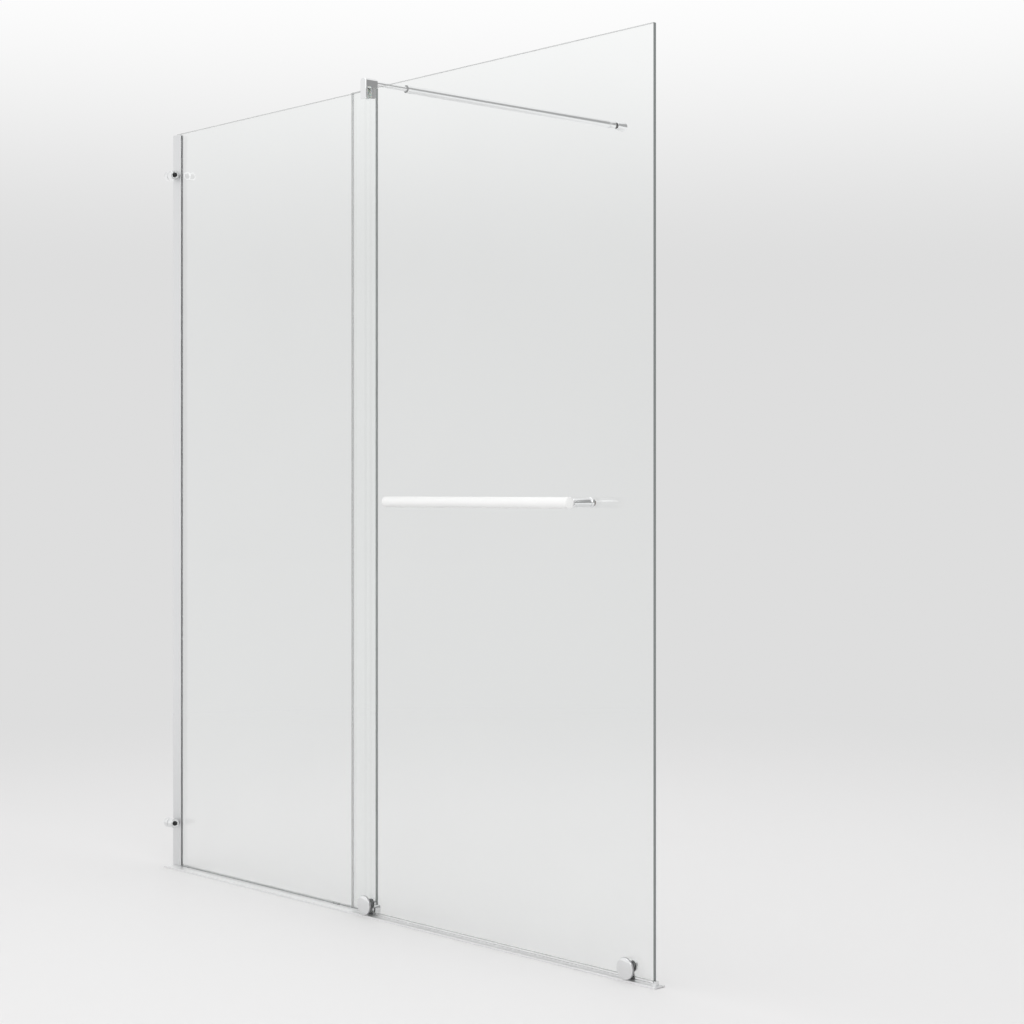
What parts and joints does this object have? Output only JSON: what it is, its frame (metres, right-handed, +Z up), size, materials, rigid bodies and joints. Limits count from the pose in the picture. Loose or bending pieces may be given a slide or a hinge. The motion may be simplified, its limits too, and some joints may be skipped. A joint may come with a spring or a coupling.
{
  "type": "shower enclosure with sliding door",
  "caption": "Frameless shower enclosure: a fixed glass panel and a glass door that rolls on a low floor rail, with a horizontal grab handle, wall bumpers and a telescopic support tube.",
  "frame": {"origin": "where the floor, the side wall and the floor rail's centreline meet: on the rail's underside, at its wall end", "axes": "+X along the rail away from the side wall, +Y from the room into the shower towards the back wall, +Z up"},
  "size_m": [1.841, 0.976, 2.0247],
  "materials": {
    "clear_glass": "clear toughened, ground edges",
    "polished_chrome": "polished",
    "satin_aluminium": "satin anodised",
    "white_coat": "smooth white powder coat, semi-gloss",
    "white_plastic": "smooth moulded",
    "black_rubber": "moulded, matt",
    "grey_plastic": "moulded",
    "wheel_plastic": "turned, fine tool marks",
    "clear_seal": "soft clear extrusion",
    "clear_gasket": "soft translucent washer",
    "natural_nylon": "moulded",
    "stainless_steel": "turned, bright",
    "bearing_steel": "ground",
    "grey_tape": "foam tape"
  },
  "bodies": {
    "fixed_frame": {"floor_rail": "satin_aluminium", "rail_bonding_tape": "grey_tape", "rail_end_stop": "polished_chrome", "end_stop_buffer": "black_rubber", "end_stop_screw": "stainless_steel", "wall_channel": "satin_aluminium", "wall_channel_gaskets": "clear_gasket", "wall_channel_cap": "satin_aluminium", "fixed_glass": "clear_glass", "fixed_glass_bottom_seal": "clear_seal", "foot_clamp_body": "polished_chrome", "foot_clamp_pads": "clear_gasket", "foot_clamp_grub_screw": "stainless_steel", "bracket_body": "polished_chrome", "bracket_guide_liner": "natural_nylon", "bracket_glass_gasket": "clear_gasket", "bracket_glass_bush": "natural_nylon", "bracket_glass_screw": "stainless_steel", "support_tube_thin": "polished_chrome", "support_tube_thick": "polished_chrome", "support_tube_bushes": "grey_plastic", "support_tube_end_collar": "polished_chrome", "support_tube_stud": "stainless_steel", "support_tube_neck_ring": "black_rubber", "wall_socket": "polished_chrome", "wall_socket_base": "stainless_steel", "support_grub_screws": "stainless_steel", "bumper_upper_base": "polished_chrome", "bumper_upper_sleeve": "polished_chrome", "bumper_upper_tip": "black_rubber", "bumper_lower_base": "polished_chrome", "bumper_lower_sleeve": "polished_chrome", "bumper_lower_tip": "black_rubber"},
    "door": {"door_glass": "clear_glass", "door_glass_bushes": "natural_nylon", "handle_bar": "white_coat", "handle_end_plugs": "white_plastic", "handle_post_left": "polished_chrome", "handle_post_right": "polished_chrome", "handle_rosettes": "polished_chrome", "handle_gaskets": "clear_gasket", "handle_inner_screws": "stainless_steel", "handle_bolts": "stainless_steel", "roller_left_axle": "stainless_steel", "roller_left_knob": "polished_chrome", "roller_left_guide_shoe": "grey_plastic", "roller_right_axle": "stainless_steel", "roller_right_knob": "polished_chrome", "roller_right_guide_shoe": "grey_plastic", "roller_gaskets": "clear_gasket", "roller_bearing_inner_races": "bearing_steel", "roller_retaining_screws": "stainless_steel"},
    "roller_left_wheel": {"roller_left_tyre": "wheel_plastic", "roller_left_hub": "stainless_steel", "roller_left_bearing": "bearing_steel", "roller_left_disc": "polished_chrome"},
    "roller_right_wheel": {"roller_right_tyre": "wheel_plastic", "roller_right_hub": "stainless_steel", "roller_right_bearing": "bearing_steel", "roller_right_disc": "polished_chrome"}
  },
  "joints": [
    {"name": "door_slide", "type": "slide", "parent": "fixed_frame", "child": "door", "axis": [1, 0, 0], "range_m": [-0.777, 0]},
    {"name": "roller_left_turn", "type": "hinge", "parent": "door", "child": "roller_left_wheel", "pos_m": [0.878, 0, 0.0275], "axis": [0, 1, 0], "range_deg": [-1900, 5]},
    {"name": "roller_right_turn", "type": "hinge", "parent": "door", "child": "roller_right_wheel", "pos_m": [1.754, 0, 0.0275], "axis": [0, 1, 0], "range_deg": [-1900, 5]}
  ],
  "couplings": [
    {"joint": "roller_left_turn", "follows": "door_slide", "rad_per_m": 42.553},
    {"joint": "roller_right_turn", "follows": "door_slide", "rad_per_m": 42.553}
  ]
}
